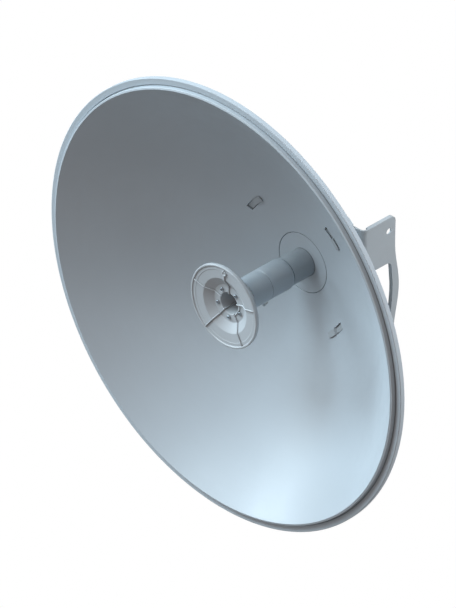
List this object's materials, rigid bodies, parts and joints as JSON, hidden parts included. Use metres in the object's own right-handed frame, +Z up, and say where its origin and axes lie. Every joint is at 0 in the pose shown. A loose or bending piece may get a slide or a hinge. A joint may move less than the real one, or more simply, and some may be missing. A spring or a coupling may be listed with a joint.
{
  "type": "satellite dish",
  "caption": "Deep round parabolic dish with a central tube feed and splash-plate subreflector, twist-locked to a tilting pressed rear bracket.",
  "frame": {"origin": "middle of the yoke's rear face, where the mast clamp bolts on", "axes": "-Y is the boresight, the way the dish looks at zero tilt, and +Z is up; the tilt pivots are on the line y = -0.040, z = 0; the boresight is the line x = 0, z = 0.128"},
  "size_m": [0.65, 0.2516, 0.65],
  "materials": {
    "reflector_paint": "satin light grey powder coat on spun sheet",
    "bracket_paint": "satin grey powder coat on pressed steel",
    "yoke_zinc": "zinc plated pressed steel",
    "feed_paint": "satin light grey coat on aluminium tube",
    "splash_plastic": "satin light grey coat on die casting",
    "dielectric": "moulded low-loss plastic",
    "cast_alloy": "as-cast aluminium, turned faces",
    "ring_plastic": "black glass-filled plastic",
    "fastener_steel": "stainless steel",
    "seal_rubber": "matt black EPDM",
    "connector_brass": "plated brass",
    "ptfe": "white PTFE"
  },
  "bodies": {
    "mast_yoke": {"tilt_yoke": "yoke_zinc", "pivot_bolt_left": "fastener_steel", "pivot_bolt_right": "fastener_steel", "pivot_nut_left": "fastener_steel", "pivot_nut_right": "fastener_steel", "pivot_spacer_left": "fastener_steel", "pivot_spacer_right": "fastener_steel"},
    "bracket": {"rear_bracket": "bracket_paint", "feed_collar": "cast_alloy", "collar_screw_1": "fastener_steel", "collar_screw_2": "fastener_steel", "collar_screw_3": "fastener_steel", "collar_screw_4": "fastener_steel", "lock_bolt_left": "fastener_steel", "lock_bolt_right": "fastener_steel", "lock_nut_left": "fastener_steel", "lock_nut_right": "fastener_steel", "lock_spacer_left": "fastener_steel", "lock_spacer_right": "fastener_steel"},
    "dish": {"reflector": "reflector_paint"},
    "feed": {"feed_base_disc": "feed_paint", "base_gasket": "seal_rubber", "waveguide_tube": "feed_paint", "feed_sleeve_rear": "feed_paint", "feed_sleeve_front": "feed_paint", "dielectric_cone": "dielectric", "subreflector": "splash_plastic", "subreflector_screw_1": "fastener_steel", "subreflector_screw_2": "fastener_steel", "subreflector_screw_3": "fastener_steel", "subreflector_screw_4": "fastener_steel", "subreflector_screw_5": "fastener_steel", "transducer_housing": "cast_alloy", "transducer_cover": "cast_alloy", "cover_screw_1": "fastener_steel", "cover_screw_2": "fastener_steel", "cover_screw_3": "fastener_steel", "cover_screw_4": "fastener_steel", "rf_connector_1": "connector_brass", "rf_connector_2": "connector_brass", "connector_insulator_1": "ptfe", "connector_insulator_2": "ptfe", "probe_pin_1": "connector_brass", "probe_pin_2": "connector_brass", "polariser_septum": "connector_brass"},
    "lock_ring": {"feed_lock_ring": "ring_plastic"}
  },
  "joints": [
    {"name": "elevation_tilt", "type": "hinge", "parent": "mast_yoke", "child": "bracket", "pos_m": [0, -0.04, 0], "axis": [-1, 0, 0], "range_deg": [-10, 15]},
    {"name": "reflector_twist", "type": "hinge", "parent": "bracket", "child": "dish", "pos_m": [0, -0.09, 0.128], "axis": [0, 1, 0], "range_deg": [0, 9]},
    {"name": "feed_rotation", "type": "hinge", "parent": "bracket", "child": "feed", "pos_m": [0, -0.09, 0.128], "axis": [0, 1, 0], "range_deg": [-45, 45]},
    {"name": "lock_ring_turn", "type": "hinge", "parent": "bracket", "child": "lock_ring", "pos_m": [0, -0.09, 0.128], "axis": [0, 1, 0], "range_deg": [0, 60]}
  ]
}
